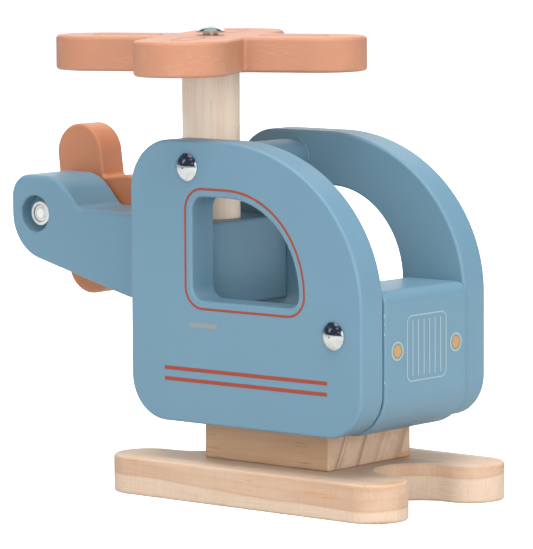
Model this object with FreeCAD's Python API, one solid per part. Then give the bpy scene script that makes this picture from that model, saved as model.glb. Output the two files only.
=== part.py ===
"""Wooden toy helicopter: flat boards, blocks and dowels, glued, pegged and screwed together.

Frame: millimetres, +X towards the nose, +Z up, origin at the centre of the skid board's
underside. The two rotors turn: the main rotor about Z on the mast, the tail rotor about Y.
"""

import math
import os

import FreeCAD
import Part

Vector = FreeCAD.Vector

# ---- Boards and blocks -------------------------------------------------------------------
PANEL_THICKNESS = 12.0
CABIN_WIDTH = 45.0  # clear width between the two side panels
PANEL_LENGTH = 100.3
PANEL_HEIGHT = 96.0
PANEL_EDGE_ROUND = 1.0
PANEL_SETBACK = 0.4  # from the nose block's front back to the right panel's front
LEFT_PANEL_BACK = 0.7  # how much further back than the right panel the left one sits
LEFT_PANEL_RAISE = 0.5  # and how much higher
PANEL_LOW_CORNER = 15.0  # radius of both lower corners
PANEL_REAR_TOP_CORNER = 17.5
NOSE_CURVE_LENGTH = 59.3  # the long quarter ellipse from the roof down to the nose
NOSE_CURVE_HEIGHT = 53.0

SKID_THICKNESS = 12.9
SKID_LENGTH = 122.0
SKID_WIDTH = 77.0
RUNNER_WIDTH = 23.5
NOTCH_DEPTH = 27.7  # how far each round-bottomed notch cuts in from the board's end
SKID_EDGE_ROUND = 1.0

CABIN_LIFT = 13.5  # free height between the skid board and the side panels
PEDESTAL_LENGTH = 54.8
PEDESTAL_FRONT = 27.0  # its front face ahead of the skid board's middle
PEDESTAL_OVERLAP = 13.6  # how far the pedestal stands up between the side panels
PEDESTAL_REAR_CORNER = 2.0
PEDESTAL_EDGE_ROUND = 0.6

NOSE_THICKNESS = 24.0
NOSE_HEIGHT = 48.9
NOSE_DROP = 0.7  # how far the block's base hangs below the right panel's
NOSE_GAP = 0.4  # between the block and the right panel
NOSE_SCREW_DROP = 14.0  # from the block's top down to its screws
NOSE_BROW_ROUND = 4.0  # the block's upper front edge
BLOCK_EDGE_ROUND = 1.0

# ---- Window ------------------------------------------------------------------------------
WINDOW_LENGTH = 46.2
WINDOW_HEIGHT = 35.2
WINDOW_SILL = 42.0  # above the panels' lower edge
WINDOW_REAR_MARGIN = 27.5  # from the panels' rear edge
WINDOW_REAR_CORNER = 4.7
WINDOW_LOW_FRONT_CORNER = 4.4

# ---- Mast and its block ------------------------------------------------------------------
MAST_DIAMETER = 20.0
MAST_LENGTH = 65.0
MAST_SOCKET_DEPTH = 14.6
MAST_BLOCK_LENGTH = 31.0
MAST_BLOCK_HEIGHT = 29.3
MAST_BLOCK_FRONT = -27.0  # its front face, behind the skid board's middle
MAST_BLOCK_BASE = 63.7  # above the ground

# ---- Roof bar ----------------------------------------------------------------------------
ROOF_BAR_DIAMETER = 13.0
ROOF_BAR_DROP = 9.0  # its axis below the panels' top edge
ROOF_BAR_GAP = 2.1  # between the bar and the mast behind it

# ---- Tail boom ---------------------------------------------------------------------------
BOOM_THICKNESS = 24.0
BOOM_LENGTH = 68.8  # from the mast block to the tail's end
BOOM_EDGE_ROUND = 1.8
TAIL_HEIGHT = 11.9  # the tail hump's top above the mast block's top
TAIL_HUMP_LENGTH = 22.2  # from the tail's end to the corner where the hump slopes down
HUMP_SLOPE_LENGTH = 10.2  # along X, from that corner to the foot of the slope
BOOM_TOP_RISE = 0.9  # the plain top's rise from the mast block to the foot of the hump
TAIL_UPPER_CORNER = 8.0
TAIL_LOWER_CORNER = 16.6
TAIL_LOWER_RISE = 14.5  # the lower edge's rise from the mast block's base to the tail's end
BOOM_ROOT_LENGTH = 12.7  # level stretch of the lower edge beside the mast block
HUMP_SHOULDER = 14.8
HUMP_FOOT = 4.0
BOOM_BELLY = 20.0
TAIL_AXIS_FROM_END = 11.5
TAIL_AXIS_BELOW_TOP = 13.9

# ---- Rotors ------------------------------------------------------------------------------
ROTOR_THICKNESS = 12.0
ROTOR_EDGE_ROUND = 1.2
ROTOR_INNER_CORNER = 1.4
BLADES = 4
MAIN_RADIUS = 55.0
MAIN_BLADE_WIDTH = 32.0
MAIN_TURN = 25.5  # degrees from +X to the first blade
TAIL_RADIUS = 30.8
TAIL_BLADE_WIDTH = 21.4
TAIL_TURN = 7.0

# ---- Metal fittings ----------------------------------------------------------------------
DOME_DIAMETER = 9.4
DOME_HEIGHT = 2.4
MAIN_DOME_DIAMETER = 10.2
DOME_LIP = 0.5  # the straight rim under a dome
SHANK_DIAMETER = 4.0
TIP_LENGTH = 4.0  # a wood screw's pointed end
PLAIN_SHARE = 0.35  # the part of a wood screw's length that has no thread
THREAD_PITCH = 1.6
THREAD_DEPTH = 0.35
PANEL_SCREW_GRIP = 18.0  # how deep a panel screw goes into the piece behind its panel
MAIN_SCREW_GRIP = 25.0  # how deep the main rotor's screw goes into the mast
BUSH_DIAMETER = 5.4
BUSH_BORE = 4.2
BUSH_STAND = 1.0  # how far a bush stands out of its rotor
WASHER_DIAMETER = 14.0
MAIN_WASHER_THICKNESS = 0.5
TAIL_WASHER_THICKNESS = 2.3
NUT_FLANGE_DIAMETER = 8.9
NUT_FLANGE_THICKNESS = 2.0
NUT_BARREL_DIAMETER = 5.6
NUT_BARREL_LENGTH = 10.0
NUT_GROOVE_DEPTH = 0.4
NUT_GROOVE_INNER = 2.3
NUT_GROOVE_OUTER = 3.2
NUT_RIM_ROUND = 0.5
NUT_RECESS_DIAMETER = 13.0
NUT_RECESS_DEPTH = 5.0
NUT_RECESS_ROUND = 0.8
BOLT_END_GAP = 1.0  # between the bolt's end and the nut's outer face
SKID_SCREW_GRIP = 17.5  # how deep a skid screw goes into the pedestal
SKID_SCREW_HEAD = 8.0
SKID_SCREW_HEAD_HEIGHT = 2.4
SKID_SCREW_SINK = 0.3  # the head's top below the board's underside
SKID_SCREW_SPACING = 30.0
CROSS_SLOT_WIDTH = 1.2
CROSS_SLOT_LENGTH = 4.6
CROSS_SLOT_DEPTH = 1.4

# ---- Wooden pegs -------------------------------------------------------------------------
PEG_DIAMETER = 6.0
PEG_DEPTH = 8.0  # how deep a cross peg goes into each of the two pieces that it joins
BOOM_PEG_DEPTH = 12.0
PEG_CHAMFER = 0.6
PEG_HOLE_SPARE = 0.5  # glue room at each end of a peg's hole
PEDESTAL_PEG_SPACING = 32.0
BOOM_PEG_SPACING = 13.0
MAST_BLOCK_PEG_SPACING = 15.0

# ---- Fits --------------------------------------------------------------------------------
RUNNING_FIT = 0.08  # radial, between a rotor and its bush
GLUE_FIT = 0.05  # radial, round a peg, a dowel or a screw in its hole
AXIAL_PLAY = 0.2  # between a rotor and its washer

TINY = 1e-3  # lengths under this count as nothing when edges are picked out

# ---- Places that follow from the sizes ---------------------------------------------------
cabin_half = CABIN_WIDTH / 2
outer_half = cabin_half + PANEL_THICKNESS
pedestal_front = PEDESTAL_FRONT
pedestal_rear = pedestal_front - PEDESTAL_LENGTH
nose_front = pedestal_front + NOSE_THICKNESS
panel_front = nose_front - PANEL_SETBACK
panel_rear = panel_front - PANEL_LENGTH
panel_base = SKID_THICKNESS + CABIN_LIFT
panel_top = panel_base + PANEL_HEIGHT
pedestal_top = panel_base + PEDESTAL_OVERLAP
nose_base = panel_base - NOSE_DROP
nose_top = nose_base + NOSE_HEIGHT
mast_block_front = MAST_BLOCK_FRONT
mast_block_rear = mast_block_front - MAST_BLOCK_LENGTH
mast_block_top = MAST_BLOCK_BASE + MAST_BLOCK_HEIGHT
mast_x = (mast_block_front + mast_block_rear) / 2
mast_base = mast_block_top - MAST_SOCKET_DEPTH
mast_top = mast_base + MAST_LENGTH
roof_bar_x = mast_x + (MAST_DIAMETER + ROOF_BAR_DIAMETER) / 2 + ROOF_BAR_GAP
roof_bar_z = panel_top - ROOF_BAR_DROP
nose_screw_x = (pedestal_front + nose_front) / 2
nose_screw_z = nose_top - NOSE_SCREW_DROP
boom_half = BOOM_THICKNESS / 2
tail_end = mast_block_rear - BOOM_LENGTH
tail_top = mast_block_top + TAIL_HEIGHT
tail_x = tail_end + TAIL_AXIS_FROM_END
tail_z = tail_top - TAIL_AXIS_BELOW_TOP
main_rotor_base = mast_top + MAIN_WASHER_THICKNESS + AXIAL_PLAY
main_head_seat = main_rotor_base + ROTOR_THICKNESS + BUSH_STAND
tail_rotor_inner = boom_half + TAIL_WASHER_THICKNESS + AXIAL_PLAY
tail_head_seat = tail_rotor_inner + ROTOR_THICKNESS + BUSH_STAND
nut_seat = -boom_half + NUT_RECESS_DEPTH
window_rear = panel_rear + WINDOW_REAR_MARGIN
window_front = window_rear + WINDOW_LENGTH
window_base = panel_base + WINDOW_SILL
window_top = window_base + WINDOW_HEIGHT
panel_screw_length = PANEL_THICKNESS + PANEL_SCREW_GRIP
skid_screw_length = SKID_THICKNESS - SKID_SCREW_SINK + SKID_SCREW_GRIP
peg_radius = PEG_DIAMETER / 2
shank_radius = SHANK_DIAMETER / 2
bush_radius = BUSH_DIAMETER / 2
SIDES = {"right": -1, "left": 1}
AXES = {"x": Vector(1, 0, 0), "y": Vector(0, 1, 0), "z": Vector(0, 0, 1)}


# ---- Tools for outlines and solids -------------------------------------------------------
def tangent_points(before, corner, after, radius):
    """The two ends and the middle of the arc that rounds a corner of an outline."""
    back = (before - corner).normalize()
    ahead = (after - corner).normalize()
    half = back.getAngle(ahead) / 2
    reach = radius / math.tan(half)
    middle_way = (back + ahead).normalize()
    centre = corner + middle_way * (radius / math.sin(half))
    return corner + back * reach, centre - middle_way * radius, corner + ahead * reach


def rounded_edges(corners):
    """Edges of a closed flat outline, from corners (x, y, radius) in order."""
    points = [Vector(x, y, 0) for x, y, _ in corners]
    count = len(corners)
    bends = []
    for index, (_, _, radius) in enumerate(corners):
        before, corner, after = points[index - 1], points[index], points[(index + 1) % count]
        bend = tangent_points(before, corner, after, radius) if radius else (corner,)
        bends.append(bend)
    edges = []
    for index, bend in enumerate(bends):
        following = bends[(index + 1) % count]
        if len(bend) == 3:
            edges.append(Part.Arc(*bend).toShape())
        if bend[-1].distanceToPoint(following[0]) > TINY:
            edges.append(Part.LineSegment(bend[-1], following[0]).toShape())
    return edges


def prism(edges, low, high):
    """A solid with the outline in the XY plane, from height low to height high."""
    face = Part.Face(Part.Wire(Part.__sortEdges__(edges)))
    solid = face.extrude(Vector(0, 0, high - low))
    solid.translate(Vector(0, 0, low))
    return solid


def upright(solid):
    """Stands a flat solid up: its x stays X, its y becomes Z, and its z becomes -Y."""
    turned = solid.copy()
    turned.rotate(Vector(0, 0, 0), AXES["x"], 90)
    return turned


def level_edges(solid):
    """The edges that lie flat in the XY plane."""
    return [edge for edge in solid.Edges if edge.BoundBox.ZLength < TINY]


def board(edges, low, high, edge_round):
    """A prism whose upper and lower edges are rounded."""
    solid = prism(edges, low, high)
    return solid.makeFillet(edge_round, level_edges(solid))


def rod(axis, start, end, radius, x=0.0, y=0.0, z=0.0):
    """A cylinder along one axis, from start to end on that axis."""
    base = {"x": Vector(start, y, z), "y": Vector(x, start, z), "z": Vector(x, y, start)}[axis]
    direction = AXES[axis] if end > start else -AXES[axis]
    return Part.makeCylinder(radius, abs(end - start), base, direction)


def box(low, high):
    """A box from its lowest to its highest corner."""
    size = high.sub(low)
    return Part.makeBox(size.x, size.y, size.z, low)


def revolved(profile):
    """A solid of revolution about Z, from (radius, height) points that start and end on Z."""
    points = [Vector(radius, 0, height) for radius, height in profile]
    face = Part.Face(Part.makePolygon(points + [points[0]]))
    return face.revolve(Vector(0, 0, 0), AXES["z"], 360)


def aimed(solid, direction, seat):
    """Turns a piece that is modelled along +Z to point along direction, and moves it to seat."""
    turned = solid.copy()
    turned.Placement = FreeCAD.Placement(seat, FreeCAD.Rotation(AXES["z"], direction))
    return turned


def drilled(solid, holes):
    """The solid less its holes."""
    return solid.cut(holes)


def is_circle(edge, diameter):
    """Whether an edge is a full circle of that diameter."""
    return abs(edge.Length - math.pi * diameter) < TINY


# ---- Pegs and their holes ----------------------------------------------------------------
def peg(axis, middle, depth, x=0.0, y=0.0, z=0.0):
    """A wooden peg with chamfered ends, centred on the joint that it crosses."""
    blank = rod(axis, middle - depth, middle + depth, peg_radius, x, y, z)
    rims = [edge for edge in blank.Edges if is_circle(edge, PEG_DIAMETER)]
    return blank.makeChamfer(PEG_CHAMFER, rims)


def peg_hole(axis, middle, depth, x=0.0, y=0.0, z=0.0):
    """The hole that a peg is glued into, in both pieces that it joins."""
    reach = depth + PEG_HOLE_SPARE
    return rod(axis, middle - reach, middle + reach, peg_radius + GLUE_FIT, x, y, z)


def pedestal_peg_places():
    """X and Z of the pegs between the pedestal and each side panel."""
    height = (panel_base + pedestal_top) / 2
    return [(side * PEDESTAL_PEG_SPACING / 2, height) for side in (-1, 1)]


def mast_block_peg_places():
    """X and Z of the pegs between the mast block and each side panel."""
    along = (max(panel_rear, mast_block_rear) + mast_block_front) / 2
    middle = MAST_BLOCK_BASE + MAST_BLOCK_HEIGHT / 2
    return [(along, middle + side * MAST_BLOCK_PEG_SPACING / 2) for side in (-1, 1)]


def nose_peg_places():
    """X and Z of the peg between the nose block and each side panel."""
    return [(nose_screw_x, panel_base + PANEL_LOW_CORNER)]


def boom_peg_places():
    """Y and Z of the pegs between the mast block and the tail boom, under the mast."""
    height = (MAST_BLOCK_BASE + mast_base) / 2
    return [(side * BOOM_PEG_SPACING / 2, height) for side in (-1, 1)]


def cross_pegs(places):
    """Pegs across both side panels' inner faces."""
    return [
        peg("y", side * cabin_half, PEG_DEPTH, x=x, z=z)
        for side in SIDES.values()
        for x, z in places
    ]


def cross_peg_holes(places):
    """The holes for cross_pegs."""
    return [
        peg_hole("y", side * cabin_half, PEG_DEPTH, x=x, z=z)
        for side in SIDES.values()
        for x, z in places
    ]


# ---- Metal fittings ----------------------------------------------------------------------
def dome(diameter, flat_below):
    """A polished round screw head with its seat at z = 0 and its crown at DOME_HEIGHT."""
    radius = diameter / 2
    rise = DOME_HEIGHT - flat_below
    ball = (radius**2 + rise**2) / (2 * rise)
    cap = Part.makeSphere(ball, Vector(0, 0, DOME_HEIGHT - ball))
    rim = rod("z", 0, flat_below, radius)
    return rim.fuse(cap.common(rod("z", flat_below, DOME_HEIGHT, radius))).removeSplitter()


def screw_shank(length):
    """A wood screw's shank from z = 0 down to its point, with a ring for each thread turn."""
    core = shank_radius - THREAD_DEPTH
    plain = length * PLAIN_SHARE
    profile = [(0, 0), (shank_radius, 0), (shank_radius, -plain)]
    turns = int((length - plain - TIP_LENGTH) / THREAD_PITCH)
    for turn in range(turns):
        top = -plain - turn * THREAD_PITCH
        profile += [(core, top - THREAD_PITCH / 2), (shank_radius, top - THREAD_PITCH)]
    profile += [(core, -length + TIP_LENGTH), (0, -length)]
    return revolved(profile)


def dome_screw(diameter, length):
    """A dome-head wood screw that points down from its seat at z = 0."""
    return dome(diameter, DOME_LIP).fuse(screw_shank(length)).removeSplitter()


def screw_hole(axis, seat, length, x=0.0, y=0.0, z=0.0):
    """The hole that a screw of that length needs, running from its seat towards -axis * length."""
    return rod(axis, seat, seat - length, shank_radius + GLUE_FIT, x, y, z)


def bush(length):
    """A steel sleeve from z = 0 upwards, which the screw clamps and the rotor turns on."""
    return rod("z", 0, length, bush_radius).cut(rod("z", 0, length, BUSH_BORE / 2))


def washer(thickness):
    """A flat ring from z = 0 upwards, round a bush."""
    hole = rod("z", 0, thickness, bush_radius + RUNNING_FIT)
    return rod("z", 0, thickness, WASHER_DIAMETER / 2).cut(hole)


# ---- Wooden pieces -----------------------------------------------------------------------
def panel_outline():
    """The side panels' outline: flat roof, long nose curve and rounded corners."""
    curve_x = panel_front - NOSE_CURVE_LENGTH
    curve_z = panel_top - NOSE_CURVE_HEIGHT
    low = PANEL_LOW_CORNER
    rear = PANEL_REAR_TOP_CORNER
    diagonal = math.sqrt(0.5)
    ellipse = Part.Ellipse(Vector(curve_x, curve_z, 0), NOSE_CURVE_LENGTH, NOSE_CURVE_HEIGHT)

    def line(start, end):
        """A straight edge between two (x, z) points."""
        return Part.LineSegment(Vector(*start, 0), Vector(*end, 0)).toShape()

    def corner(x, z, radius, way_x, way_z):
        """A quarter arc about (x, z) that bulges towards (way_x, way_z)."""
        return Part.Arc(
            Vector(x + way_x * radius, z, 0),
            Vector(x + way_x * radius * diagonal, z + way_z * radius * diagonal, 0),
            Vector(x, z + way_z * radius, 0),
        ).toShape()

    return [
        line((panel_rear + low, panel_base), (panel_front - low, panel_base)),
        corner(panel_front - low, panel_base + low, low, 1, -1),
        line((panel_front, panel_base + low), (panel_front, curve_z)),
        Part.Arc(ellipse, 0, math.pi / 2).toShape(),
        line((curve_x, panel_top), (panel_rear + rear, panel_top)),
        corner(panel_rear + rear, panel_top - rear, rear, -1, 1),
        line((panel_rear, panel_top - rear), (panel_rear, panel_base + low)),
        corner(panel_rear + low, panel_base + low, low, -1, -1),
    ]


def window_outline():
    """The window's outline: square at the rear, one round sweep at the upper front."""
    low_front = WINDOW_LOW_FRONT_CORNER
    sweep = WINDOW_HEIGHT - low_front
    return rounded_edges([
        (window_rear, window_base, WINDOW_REAR_CORNER),
        (window_front, window_base, low_front),
        (window_front, window_top, sweep),
        (window_rear, window_top, WINDOW_REAR_CORNER),
    ])


def side_panel(side):
    """One side of the cabin, with its window and all its holes."""
    inner, outer = cabin_half, outer_half
    blank = prism(panel_outline(), inner, outer).cut(prism(window_outline(), inner, outer))
    panel = upright(blank.makeFillet(PANEL_EDGE_ROUND, level_edges(blank)))
    if side > 0:
        panel = panel.mirror(Vector(0, 0, 0), AXES["y"])
        panel.translate(Vector(-LEFT_PANEL_BACK, 0, LEFT_PANEL_RAISE))
    holes = cross_peg_holes(
        pedestal_peg_places() + mast_block_peg_places() + nose_peg_places()
    )
    for x, z in ((roof_bar_x, roof_bar_z), (nose_screw_x, nose_screw_z)):
        holes.append(rod("y", -outer, outer, shank_radius + GLUE_FIT, x=x, z=z))
    return drilled(panel, holes)


def skid_board():
    """The base: one board with a round-bottomed notch in each end, which leaves two runners."""
    end, side = SKID_LENGTH / 2, SKID_WIDTH / 2
    inner = side - RUNNER_WIDTH
    tip = RUNNER_WIDTH / 2
    bottom = end - NOTCH_DEPTH
    corners = [
        (end, -side, tip), (end, -inner, tip), (bottom, -inner, inner),
        (bottom, inner, inner), (end, inner, tip), (end, side, tip),
        (-end, side, tip), (-end, inner, tip), (-bottom, inner, inner),
        (-bottom, -inner, inner), (-end, -inner, tip), (-end, -side, tip),
    ]
    solid = board(rounded_edges(corners), 0, SKID_THICKNESS, SKID_EDGE_ROUND)
    return drilled(solid, skid_screw_holes())


def skid_screw_places():
    """X of the screws that hold the pedestal on the skid board."""
    return [side * SKID_SCREW_SPACING / 2 for side in (-1, 1)]


def skid_screw_holes():
    """Countersunk holes from the board's underside up into the pedestal."""
    head = SKID_SCREW_HEAD / 2 + GLUE_FIT
    shank = shank_radius + GLUE_FIT
    seat = SKID_SCREW_SINK
    holes = []
    for x in skid_screw_places():
        mouth = rod("z", 0, seat, head, x=x)
        cone = Part.makeCone(head, shank, SKID_SCREW_HEAD_HEIGHT, Vector(x, 0, seat))
        shaft = rod("z", seat, seat + skid_screw_length, shank, x=x)
        holes.append(mouth.fuse([cone, shaft]))
    return holes


def skid_screws():
    """Countersunk wood screws with a cross slot, heads down."""
    slot = CROSS_SLOT_LENGTH / 2
    half = CROSS_SLOT_WIDTH / 2
    cross = box(Vector(-slot, -half, 0), Vector(slot, half, CROSS_SLOT_DEPTH)).fuse(
        box(Vector(-half, -slot, 0), Vector(half, slot, CROSS_SLOT_DEPTH))
    )
    head = Part.makeCone(SKID_SCREW_HEAD / 2, shank_radius, SKID_SCREW_HEAD_HEIGHT)
    shank = aimed(screw_shank(skid_screw_length), -AXES["z"], Vector(0, 0, 0))
    screw = head.fuse(shank).removeSplitter().cut(cross)
    return [aimed(screw, AXES["z"], Vector(x, 0, SKID_SCREW_SINK)) for x in skid_screw_places()]


def pedestal_block():
    """The natural wood block that carries the cabin, and whose top is the cabin's floor."""
    half = cabin_half
    solid = box(
        Vector(pedestal_rear, -half, SKID_THICKNESS), Vector(pedestal_front, half, pedestal_top)
    )
    rear = [
        edge
        for edge in solid.Edges
        if edge.BoundBox.ZLength > TINY and edge.BoundBox.XMax < pedestal_front - TINY
    ]
    solid = solid.makeFillet(PEDESTAL_REAR_CORNER, rear)
    front = [edge for edge in solid.Edges if edge.BoundBox.XMin > pedestal_front - TINY]
    solid = solid.makeFillet(PEDESTAL_EDGE_ROUND, level_edges(solid) + [
        edge for edge in front if edge.BoundBox.ZLength > TINY
    ])
    return drilled(solid, skid_screw_holes() + cross_peg_holes(pedestal_peg_places()))


def nose_block():
    """The block behind the nose, glued to the left panel, with a hairline gap at the right one."""
    corners = [
        (pedestal_front, nose_base, 0),
        (nose_front, nose_base, PANEL_LOW_CORNER),
        (nose_front, nose_top, NOSE_BROW_ROUND),
        (pedestal_front, nose_top, 0),
    ]
    solid = prism(rounded_edges(corners), -cabin_half, cabin_half - NOSE_GAP)
    front = [
        edge for edge in level_edges(solid) if edge.BoundBox.XMax > pedestal_front + TINY
    ]
    solid = upright(solid.makeFillet(BLOCK_EDGE_ROUND, front))
    holes = cross_peg_holes(nose_peg_places())
    for side in SIDES.values():
        seat = side * outer_half
        reach = side * panel_screw_length
        holes.append(screw_hole("y", seat, reach, x=nose_screw_x, z=nose_screw_z))
    return drilled(solid, holes)


def mast_block():
    """The block between the side panels that holds the mast and the tail boom."""
    solid = box(
        Vector(mast_block_rear, -cabin_half, MAST_BLOCK_BASE),
        Vector(mast_block_front, cabin_half, mast_block_top),
    )
    solid = solid.makeFillet(BLOCK_EDGE_ROUND, solid.Edges)
    holes = cross_peg_holes(mast_block_peg_places())
    holes += [peg_hole("x", mast_block_rear, BOOM_PEG_DEPTH, y=y, z=z) for y, z in boom_peg_places()]
    holes.append(rod("z", mast_base, mast_block_top, MAST_DIAMETER / 2 + GLUE_FIT, x=mast_x))
    return drilled(solid, holes)


def mast():
    """The upright dowel that the main rotor turns on."""
    solid = rod("z", mast_base, mast_top, MAST_DIAMETER / 2, x=mast_x)
    hole = rod("z", mast_top - MAIN_SCREW_GRIP, mast_top, shank_radius + GLUE_FIT, x=mast_x)
    return drilled(solid, [hole])


def roof_bar():
    """The dowel that ties the side panels together over the cabin."""
    radius = ROOF_BAR_DIAMETER / 2
    solid = rod("y", -cabin_half, cabin_half, radius, x=roof_bar_x, z=roof_bar_z)
    holes = []
    for side in SIDES.values():
        seat = side * outer_half
        reach = side * panel_screw_length
        holes.append(screw_hole("y", seat, reach, x=roof_bar_x, z=roof_bar_z))
    return drilled(solid, holes)


def boom_outline():
    """The tail boom's outline: level root, sloping belly, round tail and a hump on top."""
    slope_top = tail_end + TAIL_HUMP_LENGTH
    return rounded_edges([
        (mast_block_rear, MAST_BLOCK_BASE, 0),
        (mast_block_rear, mast_block_top, 0),
        (slope_top + HUMP_SLOPE_LENGTH, mast_block_top + BOOM_TOP_RISE, HUMP_FOOT),
        (slope_top, tail_top, HUMP_SHOULDER),
        (tail_end, tail_top, TAIL_UPPER_CORNER),
        (tail_end, MAST_BLOCK_BASE + TAIL_LOWER_RISE, TAIL_LOWER_CORNER),
        (mast_block_rear - BOOM_ROOT_LENGTH, MAST_BLOCK_BASE, BOOM_BELLY),
    ])


def tail_boom():
    """The tail, one thick board, with the recess for the tail bolt's nut."""
    blank = prism(boom_outline(), -boom_half, boom_half)
    rim = [
        edge for edge in level_edges(blank) if edge.BoundBox.XMin < mast_block_rear - TINY
    ]
    solid = upright(blank.makeFillet(BOOM_EDGE_ROUND, rim))
    recess = rod("y", -boom_half, nut_seat, NUT_RECESS_DIAMETER / 2, x=tail_x, z=tail_z)
    solid = solid.cut(recess)
    mouth = [
        edge
        for edge in solid.Edges
        if is_circle(edge, NUT_RECESS_DIAMETER) and edge.BoundBox.YMax < nut_seat - TINY
    ]
    solid = solid.makeFillet(NUT_RECESS_ROUND, mouth)
    holes = [peg_hole("x", mast_block_rear, BOOM_PEG_DEPTH, y=y, z=z) for y, z in boom_peg_places()]
    barrel_end = nut_seat + NUT_BARREL_LENGTH + PEG_HOLE_SPARE
    barrel = NUT_BARREL_DIAMETER / 2 + GLUE_FIT
    holes.append(rod("y", nut_seat, barrel_end, barrel, x=tail_x, z=tail_z))
    holes.append(rod("y", nut_seat, boom_half, shank_radius + GLUE_FIT, x=tail_x, z=tail_z))
    return drilled(solid, holes)


def rotor(radius, blade_width):
    """A four-bladed cross with round tips, flat from z = 0 up, bored to run on its bush."""
    half = blade_width / 2
    corners = []
    for blade in range(BLADES):
        angle = math.radians(blade * 360 / BLADES)
        cosine, sine = math.cos(angle), math.sin(angle)
        for along, across, bend in (
            (radius, -half, half), (radius, half, half), (half, half, ROTOR_INNER_CORNER),
        ):
            x, y = along * cosine - across * sine, along * sine + across * cosine
            corners.append((x, y, bend))
    solid = board(rounded_edges(corners), 0, ROTOR_THICKNESS, ROTOR_EDGE_ROUND)
    return solid.cut(rod("z", 0, ROTOR_THICKNESS, bush_radius + RUNNING_FIT))


def main_rotor():
    """The big rotor, turned to its rest angle on the mast."""
    solid = rotor(MAIN_RADIUS, MAIN_BLADE_WIDTH)
    solid.rotate(Vector(0, 0, 0), AXES["z"], MAIN_TURN)
    solid.translate(Vector(mast_x, 0, main_rotor_base))
    return solid


def tail_rotor():
    """The small rotor on the left of the tail, turned to its rest angle."""
    solid = rotor(TAIL_RADIUS, TAIL_BLADE_WIDTH)
    solid.rotate(Vector(0, 0, 0), AXES["z"], TAIL_TURN)
    solid = upright(solid)
    solid.translate(Vector(tail_x, tail_rotor_inner + ROTOR_THICKNESS, tail_z))
    return solid


def panel_screws(x, z):
    """The pair of dome-head screws that hold both panels at one place."""
    screw = dome_screw(DOME_DIAMETER, panel_screw_length)
    return [
        aimed(screw, AXES["y"] * side, Vector(x, side * outer_half, z)) for side in SIDES.values()
    ]


def main_rotor_screw():
    """The dome-head screw through the bush into the mast."""
    length = main_head_seat - mast_top + MAIN_SCREW_GRIP
    return aimed(dome_screw(MAIN_DOME_DIAMETER, length), AXES["z"], Vector(mast_x, 0, main_head_seat))


def tail_rotor_bolt():
    """The dome-head bolt from the left, through the tail rotor and boom into the barrel nut."""
    tip = nut_seat - NUT_FLANGE_THICKNESS + BOLT_END_GAP
    shank = rod("z", 0, tip - tail_head_seat, shank_radius)
    bolt = dome(DOME_DIAMETER, DOME_LIP).fuse(shank).removeSplitter()
    return aimed(bolt, AXES["y"], Vector(tail_x, tail_head_seat, tail_z))


def tail_barrel_nut():
    """The flanged sleeve nut, sunk in the boom's right side, with a ring groove in its face."""
    flange = rod("z", 0, NUT_FLANGE_THICKNESS, NUT_FLANGE_DIAMETER / 2)
    rim = [edge for edge in flange.Edges if edge.BoundBox.ZMin > NUT_FLANGE_THICKNESS - TINY]
    flange = flange.makeFillet(NUT_RIM_ROUND, rim)
    face = NUT_FLANGE_THICKNESS
    groove = rod("z", face - NUT_GROOVE_DEPTH, face, NUT_GROOVE_OUTER).cut(
        rod("z", face - NUT_GROOVE_DEPTH, face, NUT_GROOVE_INNER)
    )
    barrel = rod("z", 0, -NUT_BARREL_LENGTH, NUT_BARREL_DIAMETER / 2)
    bore = rod("z", -NUT_BARREL_LENGTH, face - BOLT_END_GAP, shank_radius + GLUE_FIT)
    nut = flange.fuse(barrel).removeSplitter().cut([groove, bore])
    return aimed(nut, -AXES["y"], Vector(tail_x, nut_seat, tail_z))


def pieces():
    """Every node's name with its solid or solids."""
    made = {f"{name}_side_panel": side_panel(side) for name, side in SIDES.items()}
    made["skid_board"] = skid_board()
    made["pedestal_block"] = pedestal_block()
    made["nose_block"] = nose_block()
    made["mast_block"] = mast_block()
    made["mast"] = mast()
    made["roof_bar"] = roof_bar()
    made["tail_boom"] = tail_boom()
    made["main_rotor"] = main_rotor()
    made["tail_rotor"] = tail_rotor()
    made["main_rotor_screw"] = main_rotor_screw()
    made["main_rotor_bush"] = aimed(
        bush(main_head_seat - mast_top), AXES["z"], Vector(mast_x, 0, mast_top)
    )
    made["main_rotor_washer"] = aimed(
        washer(MAIN_WASHER_THICKNESS), AXES["z"], Vector(mast_x, 0, mast_top)
    )
    made["tail_rotor_bolt"] = tail_rotor_bolt()
    made["tail_rotor_bush"] = aimed(
        bush(tail_head_seat - boom_half), AXES["y"], Vector(tail_x, boom_half, tail_z)
    )
    made["tail_rotor_washer"] = aimed(
        washer(TAIL_WASHER_THICKNESS), AXES["y"], Vector(tail_x, boom_half, tail_z)
    )
    made["tail_barrel_nut"] = tail_barrel_nut()
    made["roof_bar_screws"] = panel_screws(roof_bar_x, roof_bar_z)
    made["nose_block_screws"] = panel_screws(nose_screw_x, nose_screw_z)
    made["skid_screws"] = skid_screws()
    made["pedestal_pegs"] = cross_pegs(pedestal_peg_places())
    made["mast_block_pegs"] = cross_pegs(mast_block_peg_places())
    made["nose_block_pegs"] = cross_pegs(nose_peg_places())
    made["tail_boom_pegs"] = [
        peg("x", mast_block_rear, BOOM_PEG_DEPTH, y=y, z=z) for y, z in boom_peg_places()
    ]
    return made


def main():
    """Writes one STEP file for each node and prints its volume."""
    os.makedirs("parts", exist_ok=True)
    for name, solids in pieces().items():
        several = solids if isinstance(solids, list) else [solids]
        whole = [solid for shape in several for solid in shape.Solids]
        shape = whole[0] if len(whole) == 1 else Part.makeCompound(whole)
        if not shape.isValid():
            raise ValueError(f"{name} isn't a valid solid")
        shape.exportStep(os.path.join("parts", f"{name}.step"))
        print(f"{name}: {len(whole)} solid(s), {shape.Volume / 1000:.2f} cm3")


main()
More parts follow.
